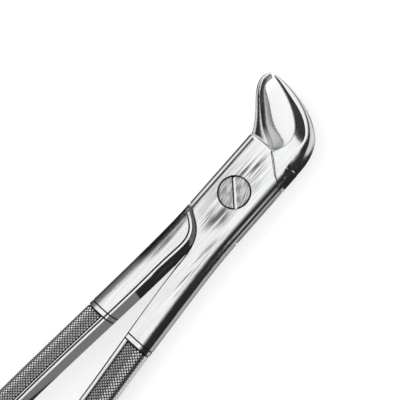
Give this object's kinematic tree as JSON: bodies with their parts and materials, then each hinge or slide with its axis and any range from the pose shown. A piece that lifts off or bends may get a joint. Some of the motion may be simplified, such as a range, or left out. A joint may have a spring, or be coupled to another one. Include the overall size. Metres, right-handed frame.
{
  "type": "extraction forceps",
  "caption": "Hand-held dental extraction forceps: hooked hollow beaks, a flat screwed lap joint and long chequered handles that open and close the beaks.",
  "frame": {"origin": "on the pivot axis, at the joint's flat back face", "axes": "+X along the joint towards the beaks, +Y the side that the beaks hook to, +Z along the pivot axis out of the screw's slotted head"},
  "size_m": [0.1629, 0.0299, 0.0084],
  "materials": {
    "forged_steel": "satin polished stainless steel, brushed along the joint",
    "screw_steel": "fine ground stainless steel"
  },
  "bodies": {
    "back": {"back_half": "forged_steel", "pivot_screw": "screw_steel"},
    "front": {"front_half": "forged_steel"}
  },
  "joints": [
    {"name": "pivot", "type": "hinge", "parent": "back", "child": "front", "pos_m": [0, 0, 0], "axis": [0, 0, 1], "range_deg": [-1, 35]}
  ]
}
